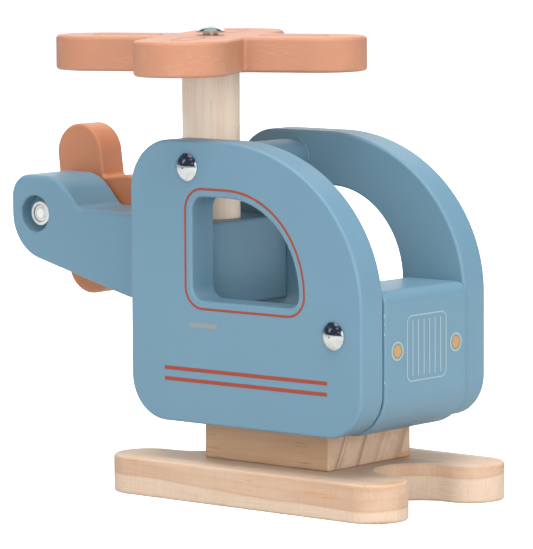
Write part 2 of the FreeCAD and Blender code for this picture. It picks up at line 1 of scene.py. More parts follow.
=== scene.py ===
"""Wooden toy helicopter: finishes, printed lines, small joints and studio round the CAD frame.

Places are in metres in the CAD frame: +X towards the nose, +Y to the toy's left, +Z up, with the
origin under the middle of the skid board. Sizes below are in millimetres and turn into metres
through MM.
"""

import logging
import math
from dataclasses import dataclass
from enum import Enum
from typing import Callable

import bmesh
import bpy
from mathutils import Matrix, Vector


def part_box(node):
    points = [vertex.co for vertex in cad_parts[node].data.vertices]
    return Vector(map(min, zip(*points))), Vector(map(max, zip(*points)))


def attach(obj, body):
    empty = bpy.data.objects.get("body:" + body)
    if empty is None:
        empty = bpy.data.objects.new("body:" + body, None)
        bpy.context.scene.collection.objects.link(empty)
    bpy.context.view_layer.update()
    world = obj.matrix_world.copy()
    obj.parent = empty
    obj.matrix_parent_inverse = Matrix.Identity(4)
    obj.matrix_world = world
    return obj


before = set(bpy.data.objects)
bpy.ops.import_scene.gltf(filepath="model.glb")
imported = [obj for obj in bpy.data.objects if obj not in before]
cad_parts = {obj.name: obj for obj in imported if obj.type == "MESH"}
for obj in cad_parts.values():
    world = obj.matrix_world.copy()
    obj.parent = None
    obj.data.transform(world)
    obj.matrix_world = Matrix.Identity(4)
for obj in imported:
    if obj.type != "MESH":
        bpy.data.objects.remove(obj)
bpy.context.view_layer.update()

log = logging.getLogger("helicopter")

MM = 0.001
Colour = tuple[float, float, float]
Place = tuple[float, float, float]
Feed = float | bpy.types.NodeSocket
RING_EDGE = 0.3  # A ring's sharp side, as a share of the side on which it fades.
ROUND_END = 0.499  # A round end's radius, as a share of the width, so that corners don't meet.
SOFT_END = 0.45  # The same for a narrow bar or speck with a softened end.


class Axis(Enum):
    """A direction in the frame, as its index in a vector."""

    X = 0
    Y = 1
    Z = 2


class Side(Enum):
    """A side of the toy, as its sign along Y."""

    RIGHT = -1
    LEFT = 1


def even(value: float) -> Place:
    """The same value along X, Y and Z."""
    return (value, value, value)


# ---- Node trees --------------------------------------------------------------------------
class Tree:
    """A node tree, with a short method for each kind of node."""

    def __init__(self, tree: bpy.types.NodeTree) -> None:
        """Takes over a tree.

        Args:
            tree: The tree that the nodes go into.
        """
        self.tree = tree
        self.coordinates = self.node("TexCoord").outputs

    def feed(self, socket: bpy.types.NodeSocket, value: Feed | Colour | Vector) -> None:
        """Links a socket into an input, or sets a plain value on it.

        Args:
            socket: The input.
            value: An output to link, or a number, colour or vector to set.
        """
        if isinstance(value, bpy.types.NodeSocket):
            self.tree.links.new(value, socket)
        elif isinstance(value, tuple) and socket.type == "RGBA":
            socket.default_value = (*value, 1.0)
        else:
            socket.default_value = value

    def node(self, kind: str, *inputs: Feed | Colour, **settings: object) -> bpy.types.Node:
        """Adds a node.

        Args:
            kind: The node's type, without its prefix.
            inputs: What goes into its first inputs, in order.
            settings: The node's own settings.

        Returns:
            The node.
        """
        made = self.tree.nodes.new("ShaderNode" + kind)
        for key, value in settings.items():
            setattr(made, key, value)
        for socket, value in zip(made.inputs, inputs):
            self.feed(socket, value)
        return made

    def stretch(self, vector: bpy.types.NodeSocket, by: Place) -> bpy.types.NodeSocket:
        """A vector multiplied part by part."""
        return self.node("VectorMath", vector, by, operation="MULTIPLY").outputs["Vector"]

    def offset(self, vector: bpy.types.NodeSocket, place: Place) -> bpy.types.NodeSocket:
        """The way from a place to the vector's end."""
        return self.node("VectorMath", vector, place, operation="SUBTRACT").outputs["Vector"]

    def dot(self, vector: bpy.types.NodeSocket, way: Place) -> bpy.types.NodeSocket:
        """How far the vector reaches along a way."""
        return self.node("VectorMath", vector, way, operation="DOT_PRODUCT").outputs["Value"]

    def length(self, vector: bpy.types.NodeSocket) -> bpy.types.NodeSocket:
        """The vector's length."""
        return self.node("VectorMath", vector, operation="LENGTH").outputs["Value"]

    def math(self, operation: str, first: Feed, second: Feed = 0.0) -> bpy.types.NodeSocket:
        """The result of one sum on two numbers."""
        return self.node("Math", first, second, operation=operation).outputs["Value"]

    def noise(self, vector: bpy.types.NodeSocket, scale: Place, detail: float = 2.0
              ) -> bpy.types.NodeSocket:
        """Smooth noise with its own fineness along each axis.

        Args:
            vector: The place.
            scale: How many swings there are in one unit, along X, Y and Z.
            detail: How many finer layers are added.

        Returns:
            The noise, about 0.5 on average.
        """
        made = self.node("TexNoise")
        self.feed(made.inputs["Vector"], self.stretch(vector, scale))
        made.inputs["Scale"].default_value = 1.0
        made.inputs["Detail"].default_value = detail
        return made.outputs["Fac"]

    def ease(self, value: Feed, start: float, end: float, low: float = 0.0, high: float = 1.0
             ) -> bpy.types.NodeSocket:
        """A number that goes smoothly from low to high while value goes from start to end."""
        made = self.node("MapRange", value, start, end, low, high, interpolation_type="SMOOTHSTEP")
        return made.outputs["Result"]

    def mix(self, share: Feed, first: Feed | Colour, second: Feed | Colour
            ) -> bpy.types.NodeSocket:
        """Mixes two colours.

        Args:
            share: How far the mix has gone to the second colour, from 0 to 1.
            first: The first colour.
            second: The second colour.

        Returns:
            The mixed colour.
        """
        made = self.node("Mix", data_type="RGBA")
        self.feed(made.inputs["Factor"], share)
        self.feed(made.inputs[6], first)
        self.feed(made.inputs[7], second)
        return made.outputs[2]


class Shader(Tree):
    """One material's node tree, with its surface."""

    def __init__(self, name: str) -> None:
        """Starts a material.

        Args:
            name: The material's name.
        """
        self.material = bpy.data.materials.new(name)
        self.material.use_nodes = True
        super().__init__(self.material.node_tree)
        self.surface = self.tree.nodes["Principled BSDF"]

    def position(self) -> bpy.types.NodeSocket:
        """The place on the piece, in millimetres in the frame."""
        return self.stretch(self.coordinates["Object"], even(1 / MM))

    def facing(self, axis: Axis) -> bpy.types.NodeSocket:
        """How squarely the surface faces along an axis, from 0 to 1."""
        parts = self.node("SeparateXYZ", self.coordinates["Normal"])
        return self.math("ABSOLUTE", parts.outputs[axis.value])

    def bands(self, value: bpy.types.NodeSocket, rings: tuple["Ring", ...]) -> Feed:
        """Marks where rings are.

        Args:
            value: How far along the rings' way the place is, in millimetres.
            rings: The rings.

        Returns:
            How strongly a ring shows there, from 0 to 1.
        """
        most = 0.0
        for ring in rings:
            near = self.ease(value, ring.place - ring.width, ring.place, 0.0, ring.strength)
            past = self.ease(value, ring.place, ring.place + ring.width * RING_EDGE, 1.0, 0.0)
            most = self.math("MAXIMUM", self.math("MULTIPLY", near, past), most)
        return most

    def relief(self, height: bpy.types.NodeSocket, depth: float) -> None:
        """Gives the surface fine relief.

        Args:
            height: The relief, from 0 to 1.
            depth: How deep it is, in millimetres.
        """
        bump = self.node("Bump")
        bump.inputs["Strength"].default_value = 1.0
        bump.inputs["Distance"].default_value = depth * MM
        self.feed(bump.inputs["Height"], height)
        self.feed(self.surface.inputs["Normal"], bump.outputs["Normal"])

    def set(self, **values: Feed | Colour) -> None:
        """Sets or links the surface's own inputs, named with _ for a space."""
        for key, value in values.items():
            self.feed(self.surface.inputs[key.replace("_", " ")], value)


# ---- Finishes ----------------------------------------------------------------------------
@dataclass(frozen=True)
class PaintFinish:
    """Satin paint on sanded wood.

    Attributes:
        name: The material's name.
        colour: The paint.
        deep: The paint where it lies a little thicker.
        edge: The paint where an edge is rubbed thin.
        board: The way through the board's thickness, so that its edges can be found.
        streaks: How strongly pale brush dashes show on the board's edges, from 0 to 1.
        rub: How far the arrises are rubbed, from 0 to 1.
        roughness: The paint's own roughness.

    The noises' fineness is in swings in a millimetre, and the relief is in millimetres.
    """

    name: str
    colour: Colour
    deep: Colour
    edge: Colour
    board: Axis
    streaks: float = 0.0
    rub: float = 0.10
    roughness: float = 0.40

    CLOUDS = 0.02
    SKIN = 0.9
    FLECKS = 2.2
    DASH_LONG = 0.28
    DASH_FINE = 3.6
    DASH_PATCHES = (0.06, 0.06, 0.12)
    SKIN_DEPTH = 0.25
    RELIEF = 0.035
    IOR = 1.48

    def _dashes(self, shader: Shader, place: bpy.types.NodeSocket, rim: bpy.types.NodeSocket
                ) -> bpy.types.NodeSocket:
        """Finds the short dashes that run round the board's edges.

        Args:
            shader: The material's tree.
            place: The place, in millimetres.
            rim: How squarely the surface is an edge of the board, from 0 to 1.

        Returns:
            How strongly a dash shows, from 0 to 1.
        """
        along = list(even(self.DASH_LONG))
        along[self.board.value] = self.DASH_FINE
        dashes = shader.ease(shader.noise(place, tuple(along), 3.0), 0.48, 0.74)
        patches = shader.ease(shader.noise(place, self.DASH_PATCHES, 1.0), 0.42, 0.62)
        side = shader.ease(rim, 0.6, 1.0)
        return shader.math("MULTIPLY", shader.math("MULTIPLY", dashes, patches), side)

    def _rubbed(self, shader: Shader, fleck: bpy.types.NodeSocket, across: bpy.types.NodeSocket,
                rim: bpy.types.NodeSocket) -> bpy.types.NodeSocket:
        """Finds where the paint is rubbed thin: most on the arrises, in flecks.

        Args:
            shader: The material's tree.
            fleck: Fine noise.
            across: How squarely the surface is a face of the board, from 0 to 1.
            rim: How squarely it is an edge of the board, from 0 to 1.

        Returns:
            How far it is rubbed, from 0 to 1.
        """
        arris = shader.math("MULTIPLY", shader.math("MULTIPLY", across, rim), 4.0)
        worn = shader.math("MULTIPLY", arris, shader.ease(fleck, 0.35, 0.65, 0.4, 1.0))
        return shader.math("MULTIPLY", worn, self.rub)

    def material(self) -> bpy.types.Material:
        """Builds the material.

        Returns:
            The material, new each time.
        """
        shader = Shader(self.name)
        place = shader.position()
        clouds = shader.noise(place, even(self.CLOUDS), 1.0)
        skin = shader.noise(place, even(self.SKIN), 2.0)
        fleck = shader.noise(place, even(self.FLECKS), 2.0)
        across = shader.facing(self.board)
        rim = shader.math("SUBTRACT", 1.0, across)
        colour = shader.mix(shader.ease(clouds, 0.3, 0.7), self.colour, self.deep)
        colour = shader.mix(shader.ease(fleck, 0.56, 0.80, 0.0, 0.10), colour, self.edge)
        colour = shader.mix(self._rubbed(shader, fleck, across, rim), colour, self.edge)
        height = shader.math("MULTIPLY", skin, self.SKIN_DEPTH)
        if self.streaks:
            share = shader.math("MULTIPLY", self._dashes(shader, place, rim), self.streaks)
            colour = shader.mix(share, colour, self.edge)
            height = shader.math("ADD", height, share)
        shader.set(Base_Color=colour, IOR=self.IOR)
        shader.set(Roughness=shader.ease(skin, 0.3, 0.7, self.roughness - 0.02,
                                         self.roughness + 0.03))
        shader.relief(height, self.RELIEF)
        return shader.material


@dataclass(frozen=True)
class Ring:
    """The late wood of one growth ring, or painted shade in a turned groove: a dark band that
    fades on one side.

    Attributes:
        place: Where it is along the way that it is measured, in millimetres.
        width: How far it fades.
        strength: How dark it is, from 0 to 1.
    """

    place: float
    width: float
    strength: float


def even_rings(first: float, spacing: float, count: int, width: float, strength: float
               ) -> tuple[Ring, ...]:
    """Evenly spaced rings that look alike.

    Args:
        first: The first ring's place, in millimetres.
        spacing: The way from one ring to the next.
        count: How many there are.
        width: How far each fades.
        strength: How dark each is, from 0 to 1.

    Returns:
        The rings.
    """
    return tuple(Ring(first + spacing * step, width, strength) for step in range(count))


@dataclass(frozen=True)
class Stain:
    """A streak of resin in bare wood.

    Attributes:
        place: Its middle, in millimetres.
        reach: How far it reaches along each axis.
        strength: How dark it is, from 0 to 1.
    """

    place: Place
    reach: Place
    strength: float


@dataclass(frozen=True)
class WoodFinish:
    """Bare sanded wood, sawn so that its growth rings lie as nearly flat sheets.

    Attributes:
        name: The material's name.
        pale: The early wood, grown in spring.
        tan: The wood between.
        dark: The late wood that ends each ring.
        grain: The way the fibres run.
        lay: The direction across the sheets of growth rings.
        rings: The rings that show, by their place along lay.
        wander: How far the rings wander, in millimetres.
        hatch: How strongly fine lines show across the board's edges, from 0 to 1.
        pores: How strongly the pores and flecks show, from 0 to 1.
        roughness: The wood's own roughness.
        stains: The streaks of resin.
        painted_light_face: The faces that are painted paler and bluer, as painted light.
        painted_light_tint: How much paler and bluer the painted light makes them, in red, green
            and blue.
        sap: The paler outer wood's colour, where lay is under sap_end.
        sap_end: Where the paler wood ends along lay, in millimetres.

    The noises' fineness is in swings in a millimetre, and the relief is in millimetres.
    """

    name: str
    pale: Colour
    tan: Colour
    dark: Colour
    grain: Axis
    lay: Place
    rings: tuple[Ring, ...] = ()
    wander: float = 1.0
    hatch: float = 0.0
    pores: float = 0.5
    roughness: float = 0.62
    stains: tuple[Stain, ...] = ()
    painted_light_face: Axis = Axis.X
    painted_light_tint: Place = (1.0, 1.0, 1.0)
    sap: Colour | None = None
    sap_end: float = 0.0

    HATCH_SCALE = (2.3, 2.3, 0.12)
    RELIEF = 0.05
    IOR = 1.45

    def _across(self, low: float, high: float) -> Place:
        """Makes a noise's scale.

        Args:
            low: The fineness along the fibres.
            high: The fineness across them.

        Returns:
            The scale along X, Y and Z.
        """
        scale = [high, high, high]
        scale[self.grain.value] = low
        return tuple(scale)

    def _depth(self, shader: Shader, place: bpy.types.NodeSocket) -> bpy.types.NodeSocket:
        """Measures along lay, with the rings' own wander.

        Args:
            shader: The material's tree.
            place: The place, in millimetres.

        Returns:
            How far along lay the place is, in millimetres.
        """
        bend = shader.noise(place, self._across(0.018, 0.05), 2.0)
        bend = shader.math("MULTIPLY", shader.math("SUBTRACT", bend, 0.5), 4 * self.wander)
        return shader.math("ADD", shader.dot(place, self.lay), bend)

    @staticmethod
    def _stained(shader: Shader, place: bpy.types.NodeSocket, stain: Stain
                 ) -> bpy.types.NodeSocket:
        """Finds a streak of resin.

        Args:
            shader: The material's tree.
            place: The place, in millimetres.
            stain: The streak.

        Returns:
            How strongly it shows, from 0 to its strength.
        """
        near = shader.stretch(shader.offset(place, stain.place),
                              tuple(1 / part for part in stain.reach))
        return shader.ease(shader.length(near), 0.3, 1.0, stain.strength, 0.0)

    def _grown(self, shader: Shader, place: bpy.types.NodeSocket, depth: bpy.types.NodeSocket,
               late: Feed) -> bpy.types.NodeSocket:
        """Colours the wood as it grew: early wood, outer wood and the rings' late wood.

        Args:
            shader: The material's tree.
            place: The place, in millimetres.
            depth: How far along lay the place is, in millimetres.
            late: How strongly late wood shows, from 0 to 1.

        Returns:
            The colour.
        """
        broad = shader.noise(place, self._across(0.02, 0.14), 3.0)
        colour = shader.mix(shader.ease(broad, 0.32, 0.68), self.pale, self.tan)
        if self.sap:
            paler = shader.ease(depth, self.sap_end - 0.3, self.sap_end + 0.5, 1.0, 0.0)
            colour = shader.mix(paler, colour, self.sap)
        return shader.mix(late, colour, self.dark)

    def _sawn(self, shader: Shader, place: bpy.types.NodeSocket, fibres: bpy.types.NodeSocket,
              colour: bpy.types.NodeSocket) -> bpy.types.NodeSocket:
        """Adds the fibres, cross lines, streaks of resin and the painted light that makes some
        faces paler.

        Args:
            shader: The material's tree.
            place: The place, in millimetres.
            fibres: The fibres' noise.
            colour: The wood's colour as it grew.

        Returns:
            The sawn wood's colour, with the painted light.
        """
        fine = shader.math("MULTIPLY", shader.ease(fibres, 0.40, 0.75), 0.16)
        colour = shader.mix(fine, colour, self.dark)
        lines = shader.ease(shader.noise(place, self.HATCH_SCALE, 2.0), 0.45, 0.75)
        sides = shader.ease(shader.facing(Axis.Z), 0.3, 0.8, self.hatch, 0.0)
        colour = shader.mix(shader.math("MULTIPLY", lines, sides), colour, self.dark)
        for stain in self.stains:
            share = shader.math("MULTIPLY", self._stained(shader, place, stain),
                                shader.ease(fibres, 0.35, 0.60, 0.25, 1.0))
            colour = shader.mix(share, colour, RESIN)
        # Painted light: the faces across one axis are made paler and bluer, as if more light fell
        # on them.
        painted_light_share = shader.ease(shader.facing(self.painted_light_face), 0.5, 0.9)
        return shader.mix(painted_light_share, colour, shader.stretch(colour, self.painted_light_tint))

    def _pored(self, shader: Shader, place: bpy.types.NodeSocket) -> bpy.types.NodeSocket:
        """Finds the pores and flecks, which gather in patches.

        Args:
            shader: The material's tree.
            place: The place, in millimetres.

        Returns:
            How strongly they show, from 0 to 1.
        """
        flecks = shader.noise(place, self._across(0.10, 1.9), 1.0)
        patches = shader.noise(place, self._across(0.05, 0.12), 1.0)
        pore = shader.math("MULTIPLY", shader.ease(flecks, 0.62, 0.74), self.pores)
        return shader.math("MULTIPLY", pore, shader.ease(patches, 0.48, 0.62))

    def material(self) -> bpy.types.Material:
        """Builds the material.

        Returns:
            The material, new each time.
        """
        shader = Shader(self.name)
        place = shader.position()
        depth = self._depth(shader, place)
        late = shader.bands(depth, self.rings)
        fibres = shader.noise(place, self._across(0.07, 2.0), 3.0)
        pore = self._pored(shader, place)
        colour = self._sawn(shader, place, fibres, self._grown(shader, place, depth, late))
        shader.set(Base_Color=shader.mix(pore, colour, self.dark), IOR=self.IOR)
        shader.set(Roughness=shader.ease(late, 0.0, 1.0, self.roughness, self.roughness - 0.1))
        height = shader.math("SUBTRACT", shader.math("MULTIPLY", late, 0.5),
                             shader.math("ADD", fibres, pore))
        shader.relief(height, self.RELIEF)
        return shader.material


@dataclass(frozen=True)
class MetalFinish:
    """Plated or turned metal with faint rubbing marks, and painted shade in rings where turned
    grooves are.

    Attributes:
        name: The material's name.
        colour: The metal.
        roughness: Its roughness where it is clean.
        smudge: How much rougher it is where it was handled.
        metallic: How far it mirrors as bare metal does, from 0 to 1.
        centre: The turning axis, as a place on it in millimetres, round which the rings of painted
            shade lie.
        rings: The dark rings of painted shade in the grooves and round the rim, by their radius.

    The noises' fineness is in swings in a millimetre, and the relief is in millimetres.
    """

    name: str
    colour: Colour
    roughness: float
    smudge: float
    metallic: float = 1.0
    centre: Place = (0.0, 0.0, 0.0)
    rings: tuple[Ring, ...] = ()

    HANDLED = 0.5
    MARKS = 6.0
    DULLED = 0.86
    # How dark the painted shade in the rings is, as a share of the metal's brightness.
    GROOVE_SHADE = 0.12
    RELIEF = 0.002

    def _shaded(self, share: float) -> Colour:
        """The metal with only a share of its brightness."""
        return tuple(part * share for part in self.colour)

    def material(self) -> bpy.types.Material:
        """Builds the material.

        Returns:
            The material, new each time.
        """
        shader = Shader(self.name)
        place = shader.position()
        handled = shader.noise(place, even(self.HANDLED), 3.0)
        marks = shader.noise(place, even(self.MARKS), 2.0)
        colour = shader.mix(shader.ease(handled, 0.3, 0.7), self.colour,
                            self._shaded(self.DULLED))
        # Painted shade: dark rings round the turning axis stand in for the shade in the nut's
        # grooves and round its rim in the recess.
        if self.rings:
            flat = shader.stretch(shader.offset(place, self.centre), (1.0, 0.0, 1.0))
            painted_groove_shade = shader.bands(shader.length(flat), self.rings)
            colour = shader.mix(painted_groove_shade, colour, self._shaded(self.GROOVE_SHADE))
        shader.set(Base_Color=colour, Metallic=self.metallic)
        shader.set(Roughness=shader.ease(handled, 0.35, 0.7, self.roughness,
                                         self.roughness + self.smudge))
        shader.relief(marks, self.RELIEF)
        return shader.material


@dataclass(frozen=True)
class InkFinish:
    """Printed ink, thin and a little uneven.

    Attributes:
        name: The material's name.
        colour: The ink.
        thin: The ink where less of it took.

    The speckle's fineness is in swings in a millimetre, and the relief is in millimetres.
    """

    name: str
    colour: Colour
    thin: Colour

    SPECKLE = 2.5
    RELIEF = 0.01

    def material(self) -> bpy.types.Material:
        """Builds the material.

        Returns:
            The material, new each time.
        """
        shader = Shader(self.name)
        place = shader.position()
        speckle = shader.noise(place, even(self.SPECKLE), 3.0)
        shader.set(Base_Color=shader.mix(shader.ease(speckle, 0.45, 0.75, 0.0, 0.7),
                                         self.colour, self.thin))
        shader.set(Roughness=shader.ease(speckle, 0.3, 0.7, 0.38, 0.52))
        shader.relief(speckle, self.RELIEF)
        return shader.material


Finish = PaintFinish | WoodFinish | MetalFinish | InkFinish

BLUE: Colour = (0.101, 0.188, 0.248)
BLUE_DEEP: Colour = (0.097, 0.182, 0.241)
BLUE_EDGE: Colour = (0.165, 0.265, 0.325)
TERRACOTTA: Colour = (0.368, 0.164, 0.092)
TERRACOTTA_DEEP: Colour = (0.345, 0.151, 0.084)
TERRACOTTA_EDGE: Colour = (0.480, 0.262, 0.180)
RUST: Colour = (0.372, 0.146, 0.070)
RESIN: Colour = (0.42, 0.19, 0.07)
STEEL: Colour = (0.80, 0.81, 0.83)
BEECH: Colour = (0.735, 0.61, 0.49)
BEECH_TAN: Colour = (0.68, 0.54, 0.415)
BEECH_DARK: Colour = (0.40, 0.26, 0.17)

PANEL_PAINT = PaintFinish("panel_paint", BLUE, BLUE_DEEP, BLUE_EDGE, Axis.Y)
BLOCK_PAINT = PaintFinish("block_paint", BLUE, BLUE_DEEP, BLUE_EDGE, Axis.Y, roughness=0.38)
ROTOR_PAINT = PaintFinish("main_rotor_paint", TERRACOTTA, TERRACOTTA_DEEP, TERRACOTTA_EDGE,
                          Axis.Z, streaks=0.45, roughness=0.42)
TAIL_PAINT = PaintFinish("tail_rotor_paint", RUST, RUST, TERRACOTTA, Axis.Y, streaks=0.2,
                         roughness=0.42)
SKID_PINE = WoodFinish(
    "skid_pine", (0.445, 0.308, 0.210), (0.405, 0.265, 0.172), (0.28, 0.120, 0.052), Axis.X,
    lay=(0.024, -0.085, 1.0), wander=0.7, hatch=0.13, pores=0.6, sap=(0.480, 0.362, 0.268),
    sap_end=8.3, rings=(Ring(8.8, 1.0, 0.20), Ring(12.6, 1.6, 0.10), Ring(17.0, 2.6, 0.14)),
    stains=(Stain((34.0, -38.5, 8.6), (8.0, 2.0, 0.8), 0.9),
            Stain((40.0, -38.5, 7.6), (6.0, 2.0, 0.6), 0.8),
            Stain((58.0, -26.0, 12.4), (4.0, 6.0, 1.3), 1.0),
            Stain((60.0, 31.0, 11.4), (4.0, 7.0, 0.9), 1.0),
            Stain((57.0, -32.0, 0.3), (7.0, 8.0, 1.3), 1.0)),
    # Painted light: the top and bottom faces are painted paler and bluer, as if lit from above.
    painted_light_face=Axis.Z, painted_light_tint=(1.10, 1.22, 1.34),
)
PEDESTAL_PINE = WoodFinish(
    "pedestal_pine", (0.452, 0.292, 0.175), (0.400, 0.246, 0.139), (0.225, 0.102, 0.056), Axis.X,
    lay=(0.0, 1.0, -0.5), wander=0.5, pores=0.6, hatch=0.03,
    rings=(Ring(-25.0, 2.0, 0.75), Ring(-22.9, 1.2, 0.5), Ring(-13.0, 2.6, 0.8),
           Ring(-3.5, 3.2, 0.35), Ring(0.0, 2.0, 0.2), Ring(9.0, 4.5, 0.5), Ring(15.0, 3.0, 0.25)),
    # Painted light: the end faces along X are painted paler and bluer, as if lit from the nose.
    stains=(Stain((27.0, 19.0, 14.0), (2.0, 6.0, 1.4), 1.0),), painted_light_tint=(1.13, 1.25, 1.48),
)
MAST_BEECH = WoodFinish("mast_beech", BEECH, BEECH_TAN, BEECH_DARK, Axis.Z,
                        lay=(0.9, 0.4, 0.0), wander=0.6, pores=0.25,
                        rings=even_rings(-46.0, 2.9, 7, 1.6, 0.05))
PEG_BEECH = WoodFinish("peg_beech", BEECH, BEECH_TAN, BEECH_DARK, Axis.Y, lay=(1.0, 0.0, 0.3),
                       wander=0.4, rings=even_rings(-50.0, 2.4, 40, 1.4, 0.2))
BOOM_PEG_BEECH = WoodFinish("boom_peg_beech", BEECH, BEECH_TAN, BEECH_DARK, Axis.X,
                            lay=(0.0, 1.0, 0.3), wander=0.4,
                            rings=even_rings(8.0, 2.4, 14, 1.4, 0.2))
POLISHED = MetalFinish("polished_steel", STEEL, 0.05, 0.07)
TURNED = MetalFinish("turned_steel", (0.74, 0.74, 0.73), 0.26, 0.08)
# The nut's dark rings are painted shade, in its grooves and round its rim in the recess.
NUT_STEEL = MetalFinish("turned_nut_steel", (0.92, 0.91, 0.88), 0.30, 0.06, metallic=0.6,
                        centre=(-115.3, 0.0, 91.0),
                        rings=(Ring(2.05, 0.7, 0.35), Ring(3.15, 0.55, 0.80), Ring(4.5, 0.5, 0.5)))
ZINC = MetalFinish("zinc_steel", (0.58, 0.59, 0.58), 0.34, 0.15)
RED_INK = InkFinish("red_ink", (0.235, 0.031, 0.010), (0.200, 0.040, 0.020))
DARK_INK = InkFinish("dark_red_ink", (0.270, 0.110, 0.090), (0.340, 0.150, 0.105))
CREAM_INK = InkFinish("cream_ink", (0.180, 0.198, 0.195), (0.150, 0.190, 0.200))
GREY_INK = InkFinish("pale_grey_ink", (0.265, 0.332, 0.328), (0.200, 0.282, 0.303))
YELLOW_INK = InkFinish("yellow_ink", (0.330, 0.360, 0.220), (0.260, 0.320, 0.220))
AMBER_INK = InkFinish("amber_ink", (0.365, 0.198, 0.062), (0.330, 0.185, 0.070))
SALMON_INK = InkFinish("salmon_ink", (0.370, 0.188, 0.075), (0.330, 0.185, 0.085))
BARE_CHIP = InkFinish("bare_chip", (0.230, 0.310, 0.310), (0.300, 0.300, 0.240))


# ---- Modelling by hand -------------------------------------------------------------------
def deselect() -> None:
    """Leaves nothing selected, so that the next operator acts on the new piece alone."""
    bpy.ops.object.select_all(action="DESELECT")


def settle(piece: bpy.types.Object, name: str) -> bpy.types.Object:
    """Names a piece and moves its place into its mesh.

    Args:
        piece: The active object.
        name: Its name.

    Returns:
        The same object, at the origin.
    """
    piece.name = name
    piece.data.name = name
    deselect()
    piece.select_set(True)
    bpy.context.view_layer.objects.active = piece
    bpy.ops.object.transform_apply(location=True, rotation=True, scale=True)
    return piece


def apply_modifier(piece: bpy.types.Object, kind: str, **settings: object) -> None:
    """Adds a modifier to a piece, sets it up and applies it.

    Args:
        piece: The piece.
        kind: The modifier's type.
        settings: The modifier's own settings.
    """
    deselect()
    piece.select_set(True)
    bpy.context.view_layer.objects.active = piece
    modifier = piece.modifiers.new(kind.lower(), kind)
    for key, value in settings.items():
        setattr(modifier, key, value)
    bpy.ops.object.modifier_apply(modifier=modifier.name)


def choose_vertices(piece: bpy.types.Object, wanted: Callable[[Vector], bool]) -> None:
    """Selects the vertices at the wanted places, in edit mode.

    Args:
        piece: The object in edit mode.
        wanted: Says whether a place is wanted.
    """
    mesh = bmesh.from_edit_mesh(piece.data)
    for vertex in mesh.verts:
        vertex.select = wanted(vertex.co)
    mesh.select_flush(True)
    mesh.select_flush(False)
    bmesh.update_edit_mesh(piece.data)


@dataclass(frozen=True)
class Film:
    """A flat film of ink: an outline with rounded corners, printed as a line or filled.

    Attributes:
        width: Its size along the first way, in millimetres.
        height: Its size along the second way, in millimetres.
        corners: The radii at lower left, lower right, upper right and upper left.
        line: The line's width, or 0 for a filled shape.
        lift: How far the ink stands off the paint below it.
    """

    width: float
    height: float
    corners: tuple[float, float, float, float]
    line: float = 0.0
    lift: float = 0.06

    SEGMENTS = 20
    NEAR = 0.01

    def model(self, name: str) -> bpy.types.Object:
        """Models the film flat on XY, in metres, with its middle at the origin.

        Args:
            name: The piece's name.

        Returns:
            The piece.
        """
        deselect()
        bpy.ops.mesh.primitive_plane_add(size=1.0)
        piece = bpy.context.active_object
        piece.scale = (self.width * MM, self.height * MM, 1.0)
        settle(piece, name)
        bpy.ops.object.mode_set(mode="EDIT")
        bpy.ops.mesh.select_mode(type="VERT")
        half_width, half_height = self.width * MM / 2, self.height * MM / 2
        ways = ((-1, -1), (1, -1), (1, 1), (-1, 1))
        for (way_x, way_y), radius in zip(ways, self.corners):
            corner = Vector((way_x * half_width, way_y * half_height, 0.0))
            choose_vertices(piece, lambda place: (place - corner).length < self.NEAR * MM)
            bpy.ops.mesh.bevel(offset=radius * MM, segments=self.SEGMENTS, affect="VERTICES",
                               clamp_overlap=False)
        bpy.ops.mesh.select_all(action="SELECT")
        if self.line:
            bpy.ops.mesh.select_mode(type="FACE")
            bpy.ops.mesh.inset(thickness=self.line * MM, depth=0.0)
            bpy.ops.mesh.delete(type="FACE")
        bpy.ops.object.mode_set(mode="OBJECT")
        apply_modifier(piece, "SOLIDIFY", thickness=self.lift * MM, offset=1.0)
        return piece


def stand(piece: bpy.types.Object, name: str, place: Place, facing: Vector) -> bpy.types.Object:
    """Stands a flat piece on a face.

    Args:
        piece: A piece modelled flat on XY, with +Y as its up.
        name: Its name.
        place: Where its middle goes, in metres.
        facing: The face's outward direction.

    Returns:
        The piece, at the origin with its place in its mesh.
    """
    up = Vector((0, 0, 1)) if abs(facing.z) < 0.5 else Vector((0, 1, 0))
    right = up.cross(facing)
    piece.matrix_world = Matrix((right, up, facing)).transposed().to_4x4()
    piece.location = place
    return settle(piece, name)


def dress(piece: bpy.types.Object, finish: Finish) -> None:
    """Gives a piece a finish in place of what it had."""
    piece.data.materials.clear()
    piece.data.materials.append(finish.material())


def finish_node(name: str, finish: Finish) -> None:
    """Gives a CAD node its finish.

    Args:
        name: The node's name.
        finish: Its finish.
    """
    material = finish.material()
    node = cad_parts[name]
    for slot in node.material_slots:
        slot.material = material
    log.info("%s: %s", name, material.name)


def hand_over(piece: bpy.types.Object, finish: Finish, body: str) -> None:
    """Dresses a new piece, makes it ride on its body and reports it.

    Args:
        piece: The piece, with its place in its mesh.
        finish: Its finish.
        body: The body that it rides on.
    """
    dress(piece, finish)
    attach(piece, body)
    log.info("%s: %d faces on %s", piece.name, len(piece.data.polygons), body)


